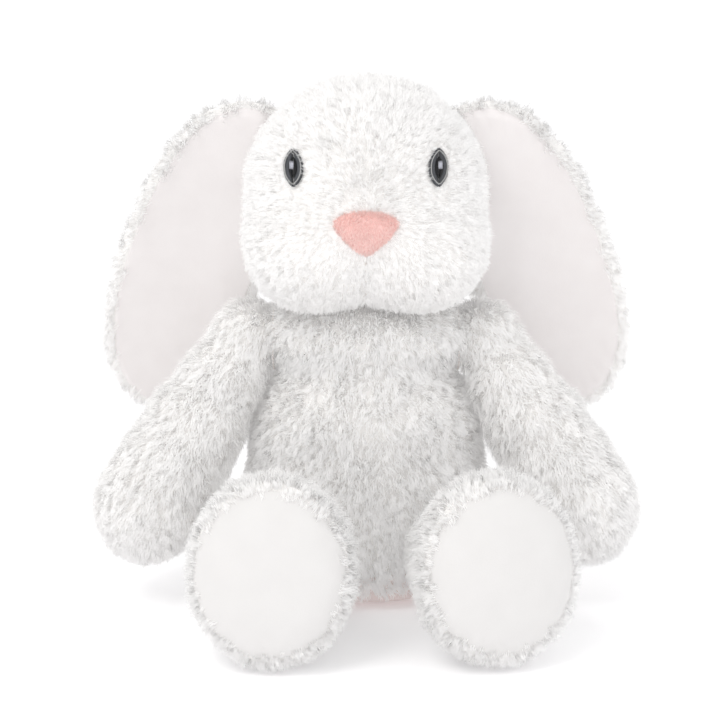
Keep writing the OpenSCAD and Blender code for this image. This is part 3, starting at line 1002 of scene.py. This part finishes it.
back_lo, back_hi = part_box("back_seam")
ladder = bmesh.new()
for count in range(14):
    z = back_lo.z + (count + 0.5) / 14 * (back_hi.z - back_lo.z)
    ends = []
    for x in (-1.3 * MM, 1.3 * MM):
        spot, normal, _, _ = body_tree.ray_cast(Vector((x, 200 * MM, z)), Vector((0, -1, 0)))
        ends.append(spot + normal * 0.4 * MM)
    add_stitch(ladder, ends[0], ends[1], 0.7 * MM, 0.6 * MM, normal)
thread_piece("back_stitches", ladder, seam_thread, "torso", ["back_seam"])


def ring_of_stitches(name, node, body, snug=1.0):
    """A ring of small stitches where the frame has a ring of thread."""
    low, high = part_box(node)
    centre, half = (low + high) / 2, (high - low) / 2
    flat = min(range(3), key=lambda axis: half[axis])
    across = [axis for axis in range(3) if axis != flat]
    radius = (min(half[axis] for axis in across) - half[flat]) * snug
    bm = bmesh.new()
    count = 40
    for step in range(count):
        points = []
        for share in (0.0, 0.75):
            angle = 2 * math.pi * (step + share) / count
            point = centre.copy()
            point[across[0]] += radius * math.cos(angle)
            point[across[1]] += radius * math.sin(angle)
            points.append(point)
        outward = (points[0] - centre).normalized()
        add_stitch(bm, points[0], points[1], 2 * half[flat], 2 * half[flat], outward)
    return thread_piece(name, bm, seam_thread, body, [node])


ring_of_stitches("neck_stitches", "neck_seam", "neck")
for side_name in SIDES:
    ring_of_stitches(f"{side_name}_shoulder_stitches", f"{side_name}_shoulder_seam", f"{side_name}_shoulder")
    ring_of_stitches(f"{side_name}_hip_stitches", f"{side_name}_hip_seam", f"{side_name}_leg")
    ring_of_stitches(f"{side_name}_ear_stitches", f"{side_name}_ear_seam", f"{side_name}_ear", 0.8)

# %% [markdown]
# ## The arms
#
# Each arm is a tapered bag that hangs from the shoulder and rests beside the belly, with most of
# its filling in the paw. A few lobes along one axis give the taper, and the remesh joins them.

# %% The arms
joints = {joint["name"]: joint for joint in frame["record"]["behaviour"]["joints"]}
ARM_SPLAY = math.radians(31)
ARM_FORWARD = math.radians(17)
ARM_LENGTH = 100 * MM
ARM_LOBES = ((0.0, 21), (0.28, 24), (0.55, 28), (0.8, 30.5), (1.0, 31))


def arm_frame(side_name):
    side = SIDES[side_name]
    shoulder = Vector(joints[f"{side_name}_arm_swing"]["pos_m"])
    return (Matrix.Translation(shoulder) @ Matrix.Rotation(-side * ARM_SPLAY, 4, "Y")
            @ Matrix.Rotation(-ARM_FORWARD, 4, "X"))


def make_arm(side_name):
    place = arm_frame(side_name)
    turn = place.to_3x3().to_4x4()
    arm_bm = bmesh.new()
    for share, radius in ARM_LOBES:
        r = radius * MM
        egg(arm_bm, place @ Vector((0, 0, -share * ARM_LENGTH)), (r, r, r * 1.08), turn)
    skin = melted(f"{side_name}_arm_skin", arm_bm, 4.5 * MM, 8, 2 * MM)
    down = turn.to_3x3() @ Vector((0, 0, -1))

    def cover(point, normal):
        return 1 - ramp(depth_below(body_tree, point), 3 * MM, 6 * MM)

    combed(skin, lambda p, n: down * 0.6 + Vector((0, 0, -0.25)), lambda p, n: 1.0, cover)
    grow_pile(skin, f"{side_name}_arm_pile", f"{side_name}_arm", pieces=1,
              seed=300 if side_name == "left" else 350, density=1.0)
    finished_skin(skin, plush_knit, f"{side_name}_arm",
                  [f"{side_name}_arm_shell"])


for side_name in SIDES:
    make_arm(side_name)

# %% [markdown]
# ## The legs and feet
#
# The legs lie forward along the floor and end in big upright feet. The front of a foot is a round
# of velboa let into the plush: it is nearly flat, gathered a little round its seam, and framed by a
# roll of pile.

# %% The legs
LEG_LENGTH = 82 * MM
FOOT_ABOVE_FLOOR = 47.65 * MM
SOLE_LEAN = math.radians(8)
FOOT_SEMI = Vector((42, 24, 48)) * MM
THIGH_SEMI = Vector((28, 46, 29)) * MM
SOLE_FLATNESS = 3.0
SOLE_HALF = (37.0 * MM, 40.5 * MM)


def leg_frames(side_name):
    """Where the hip is, and where the middle of the foot is, each with its turn."""
    hip = Vector(joints[f"{side_name}_leg_swing"]["pos_m"])
    sole_at = middle(f"{side_name}_foot_sole")
    outward = math.atan2(sole_at.x - hip.x, hip.y - sole_at.y)
    leg = Matrix.Translation(hip) @ Matrix.Rotation(outward, 4, "Z")
    foot_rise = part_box(f"{side_name}_leg_shell")[0].z + FOOT_ABOVE_FLOOR - hip.z
    foot = leg @ Matrix.Translation((0, -LEG_LENGTH, foot_rise)) @ Matrix.Rotation(-SOLE_LEAN, 4, "X")
    return leg, foot


def sole_gathers(seed):
    def height(out_share, angle):
        edge = ramp(out_share, 0.72, 0.97)
        folds = math.sin(angle * 23 + 2.5 * math.sin(angle * 3 + seed)) + 0.6 * math.sin(angle * 11 + seed)
        low_half = 0.45 + 0.55 * ramp(-math.sin(angle), -0.2, 0.9)
        broad = noise.noise(Vector((out_share * math.cos(angle), out_share * math.sin(angle), seed)) * 1.7)
        return (0.42 * folds * edge * low_half + 0.9 * broad * (1 - edge)) * MM
    return height


def make_leg(side_name):
    leg, foot = leg_frames(side_name)
    foot_inverse = foot.inverted()
    leg_bm = bmesh.new()
    egg(leg_bm, leg.translation, Vector((24, 24, 24)) * MM)
    egg(leg_bm, leg @ Vector((0, -0.48 * LEG_LENGTH, 2 * MM)), THIGH_SEMI, leg.to_3x3().to_4x4())
    egg(leg_bm, foot.translation, FOOT_SEMI, foot.to_3x3().to_4x4())
    egg(leg_bm, foot @ Vector((0, 6 * MM, -4 * MM)), FOOT_SEMI * 0.9, foot.to_3x3().to_4x4())
    skin = melted(f"{side_name}_leg_skin", leg_bm, 4.5 * MM, 5, 2 * MM)
    front = FOOT_SEMI.y - BACKING_DEPTH

    def with_flat_sole(point, normal):
        local = foot_inverse @ point
        if local.y < 0:
            out_share = min(1.0, math.hypot(local.x / (FOOT_SEMI.x - BACKING_DEPTH),
                                            local.z / (FOOT_SEMI.z - BACKING_DEPTH)))
            local.y = min(local.y, -front * (1 - out_share ** SOLE_FLATNESS) ** (1 / SOLE_FLATNESS))
        spot = foot @ local
        spot.z = max(spot.z, 3 * MM)
        return spot

    reshaped(skin, with_flat_sole)
    tree = surface_tree(skin)

    def sole_share(point):
        local = foot_inverse @ point
        if local.y > 0:
            return 9.0
        return math.hypot(local.x / SOLE_HALF[0], local.z / SOLE_HALF[1])

    def comb(point, normal):
        local = foot_inverse @ point
        round_sole = (foot.to_3x3() @ Vector((local.x, 0, local.z))).normalized()
        near = 1 - ramp(sole_share(point), 1.2, 2.5)
        return round_sole * 0.5 * near + Vector((0, 0, -0.45)) * (1 - near)

    def cover(point, normal):
        inside_body = 1 - ramp(depth_below(body_tree, point), 3 * MM, 6 * MM)
        return inside_body * ramp(sole_share(point), 0.9, 1.0)

    combed(skin, comb, lambda p, n: 0.8 + 0.2 * ramp(sole_share(p), 1.1, 1.6), cover)
    seed = 400 if side_name == "left" else 450
    grow_pile(skin, f"{side_name}_leg_pile", f"{side_name}_leg", pieces=1, seed=seed, density=1.0)
    finished_skin(skin, plush_knit, f"{side_name}_leg",
                  [f"{side_name}_leg_shell"])
    sole = patch(f"{side_name}_sole", tree, foot @ Matrix.Rotation(math.radians(90), 4, "X"),
                 ellipse(*SOLE_HALF), 3.6 * MM, 1.6 * MM, rings=64, around=144,
                 wrinkle=sole_gathers(seed / 37))
    finished_skin(sole, sole_cloth, f"{side_name}_leg",
                  [f"{side_name}_foot_sole"])


for side_name in SIDES:
    make_leg(side_name)

# %% [markdown]
# ## The ears
#
# An ear is two cloth shapes sewn together and turned: plush outside, velboa inside, with the plush
# rolling forward round the edge. It hangs from a gathered root high on the head, lies against the
# side of the head, and cups forward. A flattened ball is carried to the ear's outline, bent into
# that shape, and pushed off the head where it would sink in.

# %% The ears
EAR_SPLAY = math.radians(22)
EAR_LEAN = math.radians(13)
EAR_MIDDLE = -88 * MM
EAR_HALF_LENGTH = 100 * MM
EAR_OUTER = 50 * MM
EAR_INNER = 33 * MM
EAR_CUP = 95 * MM
EAR_THICKNESS = 6 * MM
EAR_BORDER = 7.5 * MM
EAR_SQUARENESS = 2.3


def ear_outline(side, inset):
    """The ear's rounded outline, drawn in by inset; it reaches further on the outer side."""
    def at(angle):
        across, up = math.cos(angle), math.sin(angle)
        size = (abs(across) ** EAR_SQUARENESS + abs(up) ** EAR_SQUARENESS) ** (-1 / EAR_SQUARENESS)
        half_width = (EAR_OUTER if across * side > 0 else EAR_INNER) - inset
        return across * size * half_width, up * size * (EAR_HALF_LENGTH - inset)
    return at


def ear_sheet(x, up):
    """The middle of the cloth: cupped forward across, and bowed back along its length."""
    share = (up - EAR_MIDDLE) / EAR_HALF_LENGTH
    return Vector((x, -x * x / (2 * EAR_CUP) + 7 * MM * math.sin(math.pi * (1 - share) / 2), up))


def ear_frame(side_name):
    side = SIDES[side_name]
    root = Vector(joints[f"{side_name}_ear_lift"]["pos_m"])
    return (Matrix.Translation(root) @ Matrix.Rotation(-side * EAR_SPLAY, 4, "Y")
            @ Matrix.Rotation(EAR_LEAN, 4, "X"))


def make_ear(side_name):
    side = SIDES[side_name]
    place = ear_frame(side_name)
    place_inverse = place.inverted()
    ear_bm = bmesh.new()
    bmesh.ops.create_uvsphere(ear_bm, u_segments=96, v_segments=32, radius=1.0)
    rim = ear_outline(side, 0.0)
    for vertex in ear_bm.verts:
        out_share = math.hypot(vertex.co.x, vertex.co.y)
        x, up = rim(math.atan2(vertex.co.y, vertex.co.x))
        thick = math.copysign(abs(vertex.co.z) ** 0.6, vertex.co.z) * EAR_THICKNESS / 2
        vertex.co = place @ (ear_sheet(x * out_share, EAR_MIDDLE + up * out_share) + Vector((0, thick, 0)))
    bmesh.ops.recalc_face_normals(ear_bm, faces=ear_bm.faces)
    skin = melted(f"{side_name}_ear_skin", ear_bm, 2.6 * MM, 3, 1.2 * MM)

    def beside_head(point, normal):
        local = place_inverse @ point
        held = ramp(-local.z, 10 * MM, 40 * MM)
        spot, outward, _, _ = head_tree.find_nearest(point)
        sunk = 5 * MM - (point - spot).dot(outward)
        return point + outward * max(0.0, min(sunk, 25 * MM)) * held

    reshaped(skin, beside_head)
    tree = surface_tree(skin)

    def lining_share(point):
        """Below 1 on the front of the ear, inside the border of pile."""
        local = place_inverse @ point
        x = local.x * side
        v = (local.z - EAR_MIDDLE) / (EAR_HALF_LENGTH - EAR_BORDER)
        half_width = (EAR_OUTER if x > 0 else EAR_INNER) - EAR_BORDER
        return (abs(x / half_width) ** EAR_SQUARENESS + abs(v) ** EAR_SQUARENESS) ** (1 / EAR_SQUARENESS)

    front = place.to_3x3() @ Vector((0, -1, 0))

    def cover(point, normal):
        facing = normal.dot(front)
        lined = (1 - ramp(lining_share(point), 0.97, 1.03)) * ramp(facing, 0.0, 0.3)
        return (1 - lined) * (1 - ramp(depth_below(head_tree, point), 1 * MM, 4 * MM))

    def comb(point, normal):
        local = place_inverse @ point
        outward = place.to_3x3() @ Vector((local.x, 0, local.z - EAR_MIDDLE)).normalized()
        rim = ramp(lining_share(point), 0.85, 1.05)
        return place.to_3x3() @ Vector((0, 0, -0.5)) + outward * 0.5 * rim

    combed(skin, comb, lambda p, n: 0.8, cover)
    seed = 500 if side_name == "left" else 550
    grow_pile(skin, f"{side_name}_ear_pile", f"{side_name}_ear", pieces=2, seed=seed, density=1.1)
    finished_skin(skin, plush_knit, f"{side_name}_ear",
                  [f"{side_name}_ear_back"])

    def folds(out_share, angle):
        x, y = out_share * math.cos(angle), out_share * math.sin(angle)
        soft = noise.noise(Vector((x * 1.4, y * 2.2, seed))) * 0.9
        pulled = 0.3 * math.sin(angle * 31 + 2 * math.sin(angle * 5)) * ramp(out_share, 0.8, 0.98)
        return (soft + pulled) * MM

    lining_frame = place @ Matrix.Translation((0, 0, EAR_MIDDLE)) @ Matrix.Rotation(math.radians(90), 4, "X")
    lining = patch(f"{side_name}_lining", tree, lining_frame, ear_outline(side, EAR_BORDER),
                   1.6 * MM, 0.9 * MM,
                   rings=72, around=144, wrinkle=folds)
    finished_skin(lining, ear_cloth, f"{side_name}_ear",
                  [f"{side_name}_ear_lining"])


for side_name in SIDES:
    make_ear(side_name)

# %% [markdown]
# ## What is inside
#
# The filling, the bean pouch and its beans are the frame's own solids, closed in by the skins. They
# show only when a piece is taken off, and still get the finish of what they are.

# %% Finishes for the frame's own solids
INSIDE = {"stuffing": filling, "bean_pouch": pouch_cotton, "bean_fill": beans}
for node_name, node in frame["nodes"].items():
    for word, finish in INSIDE.items():
        if word in node_name:
            node.data.materials.clear()
            node.data.materials.append(finish)
